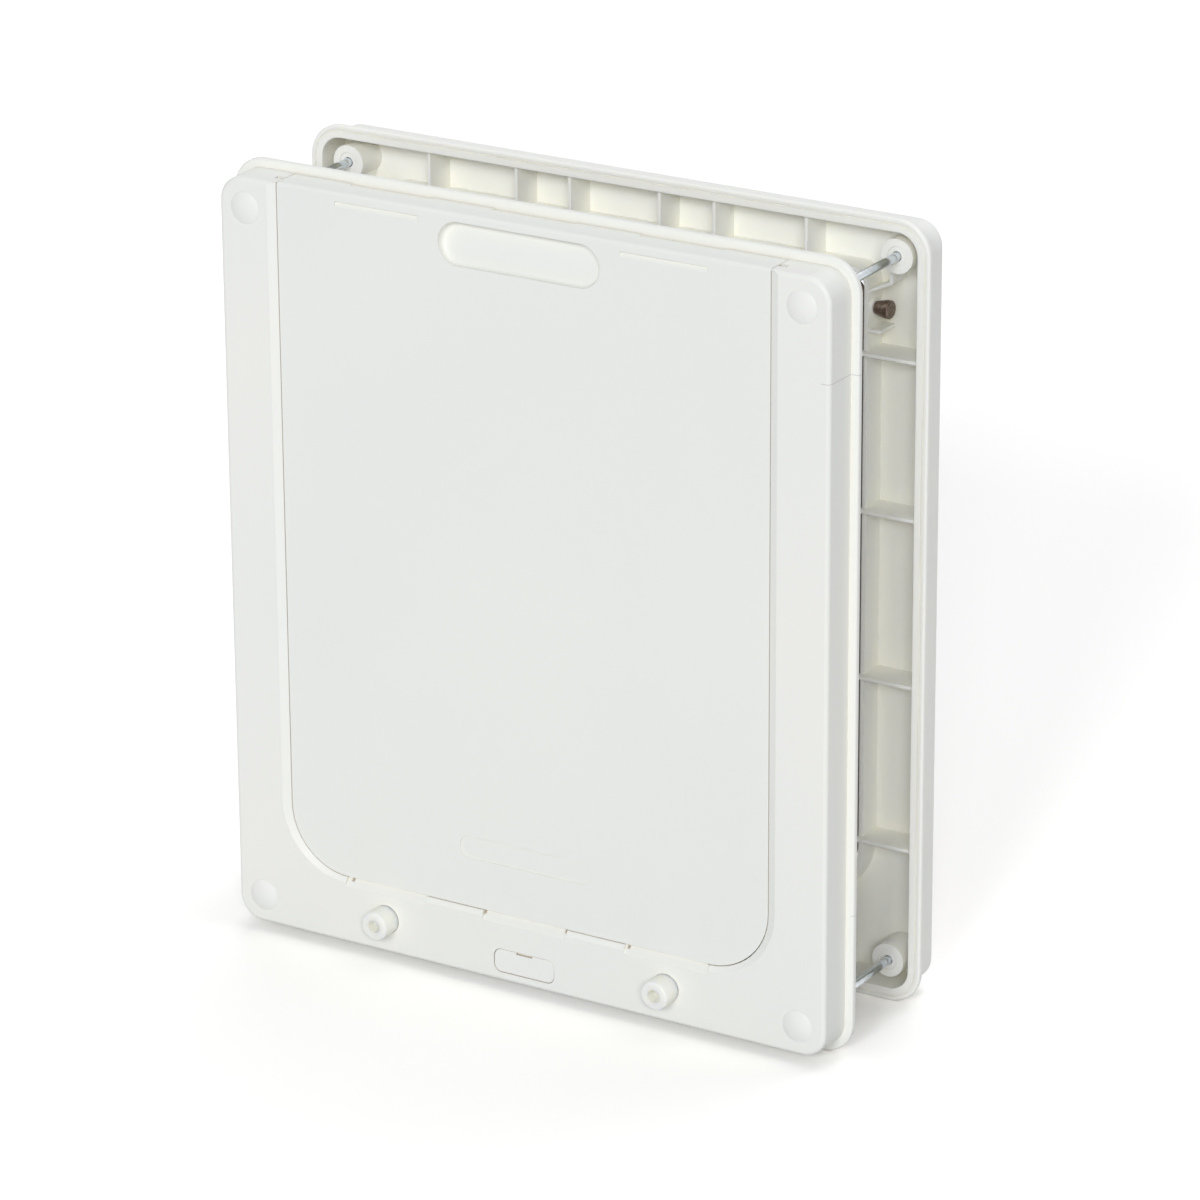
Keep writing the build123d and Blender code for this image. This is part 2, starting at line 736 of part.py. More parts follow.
os.makedirs("parts", exist_ok=True)
single = [front_frame, rear_frame, closing_panel, oval_cover, flap, flap_magnet, sill_magnet]
for piece in [item.part for item in single] + pegs + bolts + nuts + caps + pins + brushes:
    export_step(piece, f"parts/{piece.label}.step")
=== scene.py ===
import math

import bmesh
import bpy
from mathutils import Matrix, Vector


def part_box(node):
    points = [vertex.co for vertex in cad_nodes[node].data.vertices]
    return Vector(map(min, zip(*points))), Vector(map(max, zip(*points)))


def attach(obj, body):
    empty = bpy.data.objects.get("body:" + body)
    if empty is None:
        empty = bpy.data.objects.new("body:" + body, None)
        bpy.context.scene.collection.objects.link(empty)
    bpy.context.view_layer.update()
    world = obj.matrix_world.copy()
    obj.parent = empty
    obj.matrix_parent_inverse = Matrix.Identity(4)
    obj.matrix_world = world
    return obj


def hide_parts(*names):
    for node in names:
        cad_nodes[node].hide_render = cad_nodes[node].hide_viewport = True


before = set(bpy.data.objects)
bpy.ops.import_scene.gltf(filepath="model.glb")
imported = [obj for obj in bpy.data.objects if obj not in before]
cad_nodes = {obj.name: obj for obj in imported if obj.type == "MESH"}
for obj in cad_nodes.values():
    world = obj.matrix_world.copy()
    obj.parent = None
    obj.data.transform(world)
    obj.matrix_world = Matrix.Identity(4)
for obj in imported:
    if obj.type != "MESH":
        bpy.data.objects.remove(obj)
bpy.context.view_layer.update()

# Everything is in metres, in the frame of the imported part
MM = 0.001

# Outermost right edge of the front frame, which its mould lines are placed from
frame_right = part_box("front_frame")[1].x

# The photograph: a square picture taken with a long lens
PICTURE_SIDE = 1200
FOCAL_PIXELS = 5873.3
SENSOR = 36.0
CAMERA_PLACE = Vector((1.62296, -2.61656, 1.38479))
CAMERA_AZIMUTH = math.radians(31.5395)
CAMERA_ELEVATION = math.radians(20.7137)
CAMERA_ROLL = math.radians(-0.3539)

# Colours, written as linear light
FRAME_WHITE = (0.885, 0.885, 0.825)
# The frame's white made paler for the rear frame: painted light that brightens its rim and inside
REAR_WHITE_WITH_PAINTED_LIGHT = (0.930, 0.925, 0.862)
PANEL_WHITE = (0.860, 0.868, 0.812)
TRIM_WHITE = (0.890, 0.890, 0.838)
PEG_WHITE = (0.940, 0.922, 0.822)
# Warm darker tone: random specks in the plastic, and painted shade in corners and recesses
SPECK_AND_CORNER_SHADE = (0.860, 0.830, 0.700)
# Painted shade in the deepest gaps and joints
GAP_SHADE_WARM = (0.840, 0.720, 0.560)
# Dark brown painted shade in the oval cover's gaps
GAP_SHADE_BROWN = (0.380, 0.270, 0.190)
# Painted glow: a paler cream in the rear frame's corners, pockets and gaps, standing in for light through
# its thin walls
POCKET_GLOW_PAINT = (0.950, 0.928, 0.820)
# Painted warm light in the panel's slots and hollows
SLOT_GLOW_PAINT = (0.930, 0.895, 0.770)
# Painted light that pales the joints along the panel's edges
JOINT_LIGHT_PAINT = (0.950, 0.915, 0.830)
WITNESS_GREY = (0.560, 0.545, 0.520)
ZINC = (0.660, 0.690, 0.720)
ZINC_BLUE = (0.520, 0.585, 0.640)
SMOKE_BROWN = (0.300, 0.205, 0.150)
BRONZE = (0.165, 0.120, 0.094)
BRONZE_WEAR_AND_HIGHLIGHT = (0.520, 0.440, 0.380)
BRISTLE_GREY = (0.190, 0.190, 0.195)
HOLDER_GREY = (0.300, 0.300, 0.295)
FERRITE = (0.030, 0.030, 0.032)
FERRITE_PALE = (0.090, 0.085, 0.080)

# How far light wanders inside the thin white walls, and how much of each colour
GLOW_DEPTH = 3 * MM
PEG_GLOW_DEPTH = 9 * MM
GLOW_TINT = (1.0, 0.92, 0.72)

# Each mould line on the front frame's right: how far in from the edge it starts, and its height
MOULD_LINES = ((11 * MM, 397 * MM), (2 * MM, 85 * MM))
MOULD_LINE_REACH = 0.30 * MM
MOULD_LINE_START = 0.2 * MM

# Shapes with smooth shading keep an edge sharp above this angle
SHARP_ANGLE = math.radians(40)

# Draught brushes and clamp bolts
FIBRE_PITCH = 1.0 * MM
ROW_MARGIN = 1.2 * MM
HEAD_EDGE = 1.0 * MM


class Finish:
    """A material being made: its Principled surface and the pattern nodes that feed it."""

    def __init__(self, name):
        self.material = bpy.data.materials.new(name)
        self.material.use_nodes = True
        self.tree = self.material.node_tree
        self.tree.nodes.clear()
        self.surface = self.tree.nodes.new("ShaderNodeBsdfPrincipled")
        output = self.tree.nodes.new("ShaderNodeOutputMaterial")
        self.join(self.surface.outputs["BSDF"], output.inputs["Surface"])
        self.place = self.tree.nodes.new("ShaderNodeTexCoord").outputs["Object"]

    def join(self, source, target):
        self.tree.links.new(source, target)

    def fixed(self, **values):
        """Constants set on the surface's own sockets."""
        for name, value in values.items():
            self.surface.inputs[name.replace("_", " ")].default_value = value

    def stretched(self, stretch):
        """Object coordinates with another scale along each axis."""
        mapping = self.tree.nodes.new("ShaderNodeMapping")
        mapping.inputs["Scale"].default_value = stretch
        self.join(self.place, mapping.inputs["Vector"])
        return mapping.outputs["Vector"]

    def noise(self, size, detail=2.0, rough=0.5, stretch=None):
        """Cloudy pattern whose patches are about size metres across."""
        noise = self.tree.nodes.new("ShaderNodeTexNoise")
        noise.inputs["Scale"].default_value = 1 / size
        noise.inputs["Detail"].default_value = detail
        noise.inputs["Roughness"].default_value = rough
        self.join(self.stretched(stretch) if stretch else self.place, noise.inputs["Vector"])
        return noise.outputs["Fac"]

    def cells(self, size):
        """Small cells, as a spark-eroded mould leaves."""
        cells = self.tree.nodes.new("ShaderNodeTexVoronoi")
        cells.inputs["Scale"].default_value = 1 / size
        self.join(self.place, cells.inputs["Vector"])
        return cells.outputs["Distance"]

    def spread(self, value, low, high, to_low=0.0, to_high=1.0):
        """Value between low and high, carried over to another range and held there."""
        spread = self.tree.nodes.new("ShaderNodeMapRange")
        for name, number in (
            ("From Min", low),
            ("From Max", high),
            ("To Min", to_low),
            ("To Max", to_high),
        ):
            spread.inputs[name].default_value = number
        self.join(value, spread.inputs["Value"])
        return spread.outputs["Result"]

    def chained(self, operation, values):
        """Patterns and constants taken together one after the other by a Math node's operation."""
        total = values[0]
        for value in values[1:]:
            step = self.tree.nodes.new("ShaderNodeMath")
            step.operation = operation
            for socket, term in zip(step.inputs, (total, value)):
                if isinstance(term, (int, float)):
                    socket.default_value = term
                else:
                    self.join(term, socket)
            total = step.outputs["Value"]
        return total

    def sum_of(self, *values):
        return self.chained("ADD", values)

    def product_of(self, *values):
        return self.chained("MULTIPLY", values)

    def mixed(self, share, under, over):
        """One colour over another, by a pattern."""
        mix = self.tree.nodes.new("ShaderNodeMix")
        mix.data_type = "RGBA"
        self.join(share, mix.inputs["Factor"])
        for socket, colour in ((mix.inputs[6], under), (mix.inputs[7], over)):
            if isinstance(colour, tuple):
                socket.default_value = (*colour, 1.0)
            else:
                self.join(colour, socket)
        return mix.outputs[2]

    def bumped(self, height, depth, under=None):
        """Relief of that depth in metres, on top of another relief or rounding."""
        bump = self.tree.nodes.new("ShaderNodeBump")
        bump.inputs["Strength"].default_value = 1.0
        bump.inputs["Distance"].default_value = depth
        self.join(height, bump.inputs["Height"])
        if under is not None:
            self.join(under, bump.inputs["Normal"])
        return bump.outputs["Normal"]

    def rounded_edges(self, radius):
        """Normals that turn softly over each edge, and a value that rises towards each edge."""
        bevel = self.tree.nodes.new("ShaderNodeBevel")
        bevel.samples = 2
        bevel.inputs["Radius"].default_value = radius
        flat = self.tree.nodes.new("ShaderNodeNewGeometry")
        likeness = self.tree.nodes.new("ShaderNodeVectorMath")
        likeness.operation = "DOT_PRODUCT"
        self.join(bevel.outputs["Normal"], likeness.inputs[0])
        self.join(flat.outputs["Normal"], likeness.inputs[1])
        edge = self.spread(likeness.outputs["Value"], 1.0, 0.80)
        return bevel.outputs["Normal"], edge

    def crevice(self, reach):
        """How closed in each point is: rising in any corner, and rising only in deep gaps."""
        shade = self.tree.nodes.new("ShaderNodeAmbientOcclusion")
        shade.samples = 2
        shade.inputs["Distance"].default_value = reach
        openness = shade.outputs["AO"]
        return self.spread(openness, 0.75, 0.15), self.spread(openness, 0.30, 0.02)

    def along(self, axis):
        """One of the object coordinates."""
        split = self.tree.nodes.new("ShaderNodeSeparateXYZ")
        self.join(self.place, split.inputs["Vector"])
        return split.outputs[axis]

    def near(self, axis, value, reach):
        """1 on the plane where a coordinate has that value, fading to 0 at reach from it."""
        off = self.sum_of(self.along(axis), -value)
        distance = self.tree.nodes.new("ShaderNodeMath")
        distance.operation = "ABSOLUTE"
        self.join(off, distance.inputs[0])
        return self.spread(distance.outputs["Value"], reach, reach / 2)

    def done(self, colour, roughness, normal):
        for source, name in ((colour, "Base Color"), (roughness, "Roughness"), (normal, "Normal")):
            self.join(source, self.surface.inputs[name])
        return self.material


def moulded_plastic(name, colour, grain, grain_depth, roughness, mould_lines=(), edge_r=0.45 * MM,
                    glow=0.0, glow_depth=GLOW_DEPTH, hollow_paint_share=0.4, reach=4 * MM,
                    hollow_paint=SPECK_AND_CORNER_SHADE, gap_paint=GAP_SHADE_WARM):
    """White moulded plastic: a spark grain, slow waves and flow marks, painted highlights on the edges, and
    colours painted into corners and gaps by how closed in they are: painted shade where darker, painted
    glow where paler.
    """
    finish = Finish(name)
    finish.fixed(IOR=1.46, Specular_IOR_Level=0.42, Subsurface_Weight=glow, Subsurface_Scale=glow_depth)
    finish.surface.inputs["Subsurface Radius"].default_value = GLOW_TINT
    rounding, edge = finish.rounded_edges(edge_r)
    drift = finish.spread(finish.noise(0.16, 2.0), 0.35, 0.65)
    specks = finish.spread(finish.noise(1.3 * MM, 1.0), 0.72, 0.80, 0.0, 0.10)
    cooler = tuple(share * channel for share, channel in zip((0.975, 0.983, 0.992), colour))
    tone = finish.mixed(drift, colour, cooler)
    tone = finish.mixed(specks, tone, SPECK_AND_CORNER_SHADE)
    corner, gap = finish.crevice(reach)
    # Corners take the hollow colour: painted shade where it is darker than the plastic, painted glow where
    # it is paler
    tone = finish.mixed(finish.product_of(corner, hollow_paint_share), tone, hollow_paint)
    # Deep gaps take the gap colour: painted shade where it is darker, painted light where it is paler
    tone = finish.mixed(finish.product_of(gap, 0.8), tone, gap_paint)
    for line_start, height in mould_lines:
        line = finish.near("Z", height, MOULD_LINE_REACH)
        where = finish.spread(finish.along("X"), line_start, line_start + MOULD_LINE_START)
        tone = finish.mixed(finish.product_of(line, where, 0.7), tone, WITNESS_GREY)
    # Painted highlight: every edge made a little paler
    edge_highlight = tuple(1.03 * channel for channel in colour)
    tone = finish.mixed(finish.product_of(edge, 0.6), tone, edge_highlight)
    cloud = finish.spread(finish.noise(0.012, 3.0, 0.6), 0.3, 0.7, roughness - 0.035, roughness + 0.035)
    gloss = finish.sum_of(cloud, finish.product_of(edge, -0.10))
    flow = finish.noise(0.035, 2.0, 0.5, stretch=(1.0, 1.0, 0.35))
    relief = finish.bumped(flow, 0.06 * MM, rounding)
    relief = finish.bumped(finish.cells(grain), grain_depth, relief)
    relief = finish.bumped(finish.noise(grain / 3, 2.0), grain_depth / 2, relief)
    return finish.done(tone, gloss, relief)


def zinc_plate():
    """Bright zinc plate on drawn steel: a blue cast in patches and fine lines along the shank."""
    finish = Finish("bright_zinc")
    finish.fixed(Metallic=1.0)
    patches = finish.spread(finish.noise(4 * MM, 3.0), 0.4, 0.7)
    tone = finish.mixed(patches, ZINC, ZINC_BLUE)
    rounding, _ = finish.rounded_edges(0.25 * MM)
    drawn = finish.noise(0.25 * MM, 2.0, 0.6, stretch=(1.0, 0.03, 1.0))
    gloss = finish.spread(finish.noise(1.5 * MM, 3.0), 0.3, 0.7, 0.09, 0.17)
    return finish.done(tone, gloss, finish.bumped(drawn, 0.012 * MM, rounding))


def smoked_sheet():
    """Glossy smoked plastic that light gets through, with faint mould flow and wiping marks."""
    finish = Finish("smoked_flap")
    finish.fixed(IOR=1.49, Transmission_Weight=0.70)
    rounding, edge = finish.rounded_edges(0.6 * MM)
    drift = finish.spread(finish.noise(0.09, 2.0), 0.3, 0.7)
    darker = tuple(0.82 * channel for channel in SMOKE_BROWN)
    tone = finish.mixed(drift, SMOKE_BROWN, darker)
    # Painted highlight: the flap's edges made paler
    flap_edge_highlight = tuple(1.6 * channel for channel in SMOKE_BROWN)
    tone = finish.mixed(edge, tone, flap_edge_highlight)
    wiped = finish.noise(0.02, 4.0, 0.65, stretch=(0.25, 1.0, 1.0))
    gloss = finish.spread(wiped, 0.35, 0.7, 0.07, 0.20)
    relief = finish.bumped(finish.noise(0.05, 1.5), 0.05 * MM, rounding)
    return finish.done(tone, gloss, relief)


def rubbed_and_highlit_bronze():
    """Dark bronze of the hinge pins, paler in stains, and paler on the edges with rubbed wear and a painted
    highlight.
    """
    finish = Finish("dark_bronze")
    finish.fixed(Metallic=0.85)
    rounding, edge = finish.rounded_edges(0.35 * MM)
    stain = finish.spread(finish.noise(1.6 * MM, 4.0, 0.6), 0.45, 0.75)
    tone = finish.mixed(finish.product_of(stain, 0.4), BRONZE, BRONZE_WEAR_AND_HIGHLIGHT)
    # Paler edges: rubbed wear and a painted highlight
    tone = finish.mixed(edge, tone, BRONZE_WEAR_AND_HIGHLIGHT)
    gloss = finish.spread(finish.noise(0.8 * MM, 3.0), 0.3, 0.7, 0.26, 0.40)
    turned = finish.noise(0.12 * MM, 1.0, 0.5, stretch=(1.0, 0.08, 0.08))
    return finish.done(tone, gloss, finish.bumped(turned, 0.01 * MM, rounding))


def nylon(name, colour):
    """Nylon fibre or extrusion with a dull sheen and small changes of tone."""
    finish = Finish(name)
    finish.fixed(Sheen_Weight=0.15, Sheen_Roughness=0.4)
    paler = tuple(1.4 * channel for channel in colour)
    tone = finish.mixed(finish.spread(finish.noise(1.1 * MM, 3.0), 0.35, 0.75), colour, paler)
    gloss = finish.spread(finish.noise(0.6 * MM, 2.0), 0.3, 0.7, 0.45, 0.62)
    return finish.done(tone, gloss, finish.bumped(finish.noise(0.2 * MM, 2.0), 0.015 * MM))


def sintered_ferrite():
    """Matt magnet with pressed grain, paler in patches and towards its edges."""
    finish = Finish("sintered_ferrite")
    finish.fixed(Metallic=0.25)
    rounding, edge = finish.rounded_edges(0.5 * MM)
    grain = finish.noise(0.35 * MM, 5.0, 0.7)
    tone = finish.mixed(finish.spread(grain, 0.45, 0.75), FERRITE, FERRITE_PALE)
    tone = finish.mixed(finish.product_of(edge, 0.5), tone, FERRITE_PALE)
    gloss = finish.spread(grain, 0.3, 0.7, 0.50, 0.70)
    return finish.done(tone, gloss, finish.bumped(grain, 0.03 * MM, rounding))


def dress(names, material):
    """Gives CAD nodes their finish."""
    for name in names:
        mesh = cad_nodes[name].data
        mesh.materials.clear()
        mesh.materials.append(material)


def numbered(stem, count=4):
    return [f"{stem}_{number}" for number in range(1, count + 1)]


# The front moulding has hairlines where inserts met in its mould
mould_lines = [(frame_right - inset, height) for inset, height in MOULD_LINES]
frame_front_plastic = moulded_plastic(
    "frame_plastic_front", FRAME_WHITE, 0.7 * MM, 0.010 * MM, 0.47, mould_lines,
)
# Rear frame: painted glow in its corners, pockets and gaps
frame_rear_plastic = moulded_plastic(
    "frame_plastic_rear", REAR_WHITE_WITH_PAINTED_LIGHT, 0.7 * MM, 0.010 * MM, 0.47, glow=0.4, hollow_paint_share=1.0, reach=14 * MM,
    hollow_paint=POCKET_GLOW_PAINT, gap_paint=POCKET_GLOW_PAINT,
)
# Panel: painted warm light in its slots and hollows, and painted light that pales its joints
panel_plastic = moulded_plastic(
    "panel_plastic", PANEL_WHITE, 0.9 * MM, 0.016 * MM, 0.52, hollow_paint_share=1.0, reach=7 * MM,
    hollow_paint=SLOT_GLOW_PAINT, gap_paint=JOINT_LIGHT_PAINT,
)
trim_plastic = moulded_plastic("trim_plastic", TRIM_WHITE, 0.5 * MM, 0.006 * MM, 0.40, edge_r=0.1 * MM)
# Oval cover: dark brown painted shade in its gaps
oval_plastic = moulded_plastic(
    "oval_plastic", TRIM_WHITE, 0.5 * MM, 0.008 * MM, 0.42, edge_r=0.2 * MM, gap_paint=GAP_SHADE_BROWN,
)
peg_plastic = moulded_plastic(
    "peg_plastic", PEG_WHITE, 0.5 * MM, 0.005 * MM, 0.38, glow=1.0, glow_depth=PEG_GLOW_DEPTH,
    hollow_paint_share=0.0, gap_paint=PEG_WHITE,
)
zinc = zinc_plate()
smoke = smoked_sheet()
bronze = rubbed_and_highlit_bronze()
bristle_nylon = nylon("bristle_nylon", BRISTLE_GREY)
holder_nylon = nylon("holder_nylon", HOLDER_GREY)
ferrite = sintered_ferrite()

dress(["front_frame"], frame_front_plastic)
dress(["rear_frame"], frame_rear_plastic)
dress(["closing_panel"], panel_plastic)
dress([*numbered("screw_cap_front"), *numbered("screw_cap_rear")], trim_plastic)
dress(["oval_cover"], oval_plastic)
dress(["locking_peg_left", "locking_peg_right"], peg_plastic)
dress(numbered("clamp_nut"), zinc)
dress(["flap"], smoke)
dress(["hinge_pin_left", "hinge_pin_right"], bronze)
dress(["flap_magnet", "sill_magnet"], ferrite)


class Kit:
    """A Geometry Nodes tree being built: named inputs for sizes, and nodes wired in order."""

    def __init__(self, name, sizes):
        self.tree = bpy.data.node_groups.new(name, "GeometryNodeTree")
        self.tree.interface.new_socket("Geometry", in_out="OUTPUT", socket_type="NodeSocketGeometry")
        self.sockets = {}
        for size_name, value in sizes.items():
            kind = "NodeSocketInt" if isinstance(value, int) else "NodeSocketFloat"
            socket = self.tree.interface.new_socket(size_name, in_out="INPUT", socket_type=kind)
            socket.default_value = value
            self.sockets[size_name] = socket.identifier
        self.given = self.tree.nodes.new("NodeGroupInput").outputs
        self.result = self.tree.nodes.new("NodeGroupOutput").inputs["Geometry"]

    def put(self, kind, wires=None, **settings):
        """A node with its settings, and a wire or a constant for each input, by name or number."""
        node = self.tree.nodes.new(kind)
        for name, value in settings.items():
            setattr(node, name, value)
        for key, value in (wires or {}).items():
            socket = node.inputs[key]
            if isinstance(value, bpy.types.NodeSocket):
                self.tree.links.new(value, socket)
            else:
                socket.default_value = value
        return node

    def maths(self, operation, first, second):
        return self.put("ShaderNodeMath", {0: first, 1: second}, operation=operation).outputs["Value"]

    def half(self, value):
        return self.maths("MULTIPLY", value, 0.5)

    def minus(self, value):
        return self.maths("MULTIPLY", value, -1.0)

    def point(self, x=0.0, y=0.0, z=0.0):
        return self.put("ShaderNodeCombineXYZ", {"X": x, "Y": y, "Z": z}).outputs["Vector"]

    def moved(self, shape, shift=None, turn=None, scale=None):
        wires = {"Geometry": shape}
        for name, value in (("Translation", shift), ("Rotation", turn), ("Scale", scale)):
            if value is not None:
                wires[name] = value
        return self.put("GeometryNodeTransform", wires).outputs["Geometry"]

    def cut(self, shape, tool):
        cut = self.put("GeometryNodeMeshBoolean", {"Mesh 1": shape, "Mesh 2": tool}, operation="DIFFERENCE")
        return cut.outputs["Mesh"]

    def joined(self, *shapes):
        join = self.tree.nodes.new("GeometryNodeJoinGeometry")
        for shape in shapes:
            self.tree.links.new(shape, join.inputs["Geometry"])
        return join.outputs["Geometry"]

    def painted(self, shape, material):
        painted = self.put("GeometryNodeSetMaterial", {"Geometry": shape, "Material": material})
        return painted.outputs["Geometry"]

    def end(self, shape):
        self.tree.links.new(shape, self.result)

    def baked(self, name, sizes=None):
        """The tree's shape as a plain mesh, for the sizes given."""
        holder = bpy.data.objects.new(name, bpy.data.meshes.new(name))
        bpy.context.scene.collection.objects.link(holder)
        modifier = holder.modifiers.new(name, "NODES")
        modifier.node_group = self.tree
        for size_name, value in (sizes or {}).items():
            modifier[self.sockets[size_name]] = value
        seen = holder.evaluated_get(bpy.context.evaluated_depsgraph_get())
        mesh = bpy.data.meshes.new_from_object(seen)
        bpy.data.objects.remove(holder)
        used = [mesh.materials[face.material_index] for face in mesh.polygons]
        kept = sorted(set(used), key=lambda material: material.name)
        mesh.materials.clear()
        for material in kept:
            mesh.materials.append(material)
        for face, material in zip(mesh.polygons, used):
            face.material_index = kept.index(material)
        return mesh


def piece(name, meshes, smooth=True):
    """One object of one or more baked meshes, with its normals facing outwards."""
    shape = bmesh.new()
    materials = list(meshes[0].materials)
    for mesh in meshes:
        shape.from_mesh(mesh)
    bmesh.ops.recalc_face_normals(shape, faces=shape.faces)
    for face in shape.faces:
        face.smooth = smooth
    whole = bpy.data.meshes.new(name)
    shape.to_mesh(whole)
    shape.free()
    for material in materials:
        whole.materials.append(material)
    if smooth:
        whole.set_sharp_from_angle(angle=SHARP_ANGLE)
    made = bpy.data.objects.new(name, whole)
    bpy.context.scene.collection.objects.link(made)
    return made


def brush_kit():
    """Draught brush: an extruded holder with two lips, and rows of short fibres between them."""
    kit = Kit("draught_brush_kit", {
        "Length": 0.293,
        "Holder Width": 8.0 * MM,
        "Lip Height": 1.4 * MM,
        "Pile Width": 3.0 * MM,
        "Pile Height": 3.0 * MM,
        "Rows": 5,
        "Fibres in Row": 293,
        "Seed": 7,
    })
    given = kit.given
    lip_radius = kit.half(given["Lip Height"])
    lip_place = kit.maths("SUBTRACT", kit.half(given["Holder Width"]), lip_radius)
    sole_thick = kit.maths("MULTIPLY", given["Lip Height"], 0.45)
    sole_width = kit.maths("MULTIPLY", lip_place, 2.0)
    sole = kit.put("GeometryNodeMeshCube", {"Size": kit.point(sole_thick, sole_width, given["Length"])})
    sole = kit.moved(sole.outputs["Mesh"], kit.point(kit.half(sole_thick)))
    lip = kit.put("GeometryNodeMeshCylinder", {
        "Vertices": 14, "Radius": lip_radius, "Depth": given["Length"],
    }).outputs["Mesh"]
    near_lip = kit.moved(lip, kit.point(lip_radius, kit.minus(lip_place)))
    far_lip = kit.moved(lip, kit.point(lip_radius, lip_place))
    holder = kit.painted(kit.joined(sole, near_lip, far_lip), holder_nylon)
    row_length = kit.maths("SUBTRACT", given["Length"], ROW_MARGIN)
    rows = kit.put("GeometryNodeMeshGrid", {
        "Size X": given["Pile Width"], "Size Y": row_length,
        "Vertices X": given["Rows"], "Vertices Y": given["Fibres in Row"],
    }).outputs["Mesh"]
    row_lift = kit.maths("MULTIPLY", given["Pile Height"], 0.015)
    rows = kit.moved(rows, kit.point(row_lift), (math.radians(90), 0.0, math.radians(90)))
    fibre = kit.put("GeometryNodeMeshCone", {
        "Vertices": 5,
        "Radius Top": 0.16 * MM,
        "Radius Bottom": 0.30 * MM,
        "Depth": given["Pile Height"],
    }).outputs["Mesh"]
    fibre = kit.moved(fibre, turn=(0.0, math.radians(90), 0.0))
    lean = kit.put("FunctionNodeRandomValue", {
        "Min": (-0.6, -0.09, -0.09), "Max": (0.6, 0.09, 0.09), "Seed": given["Seed"],
    }, data_type="FLOAT_VECTOR").outputs["Value"]
    length = kit.put("FunctionNodeRandomValue", {
        "Min": (0.86, 0.8, 0.8), "Max": (0.975, 1.2, 1.2), "Seed": given["Seed"],
    }, data_type="FLOAT_VECTOR").outputs["Value"]
    pile = kit.put("GeometryNodeInstanceOnPoints", {
        "Points": rows, "Instance": fibre, "Rotation": lean, "Scale": length,
    }).outputs["Instances"]
    pile = kit.put("GeometryNodeRealizeInstances", {"Geometry": pile}).outputs["Geometry"]
    kit.end(kit.joined(holder, kit.painted(pile, bristle_nylon)))
    return kit


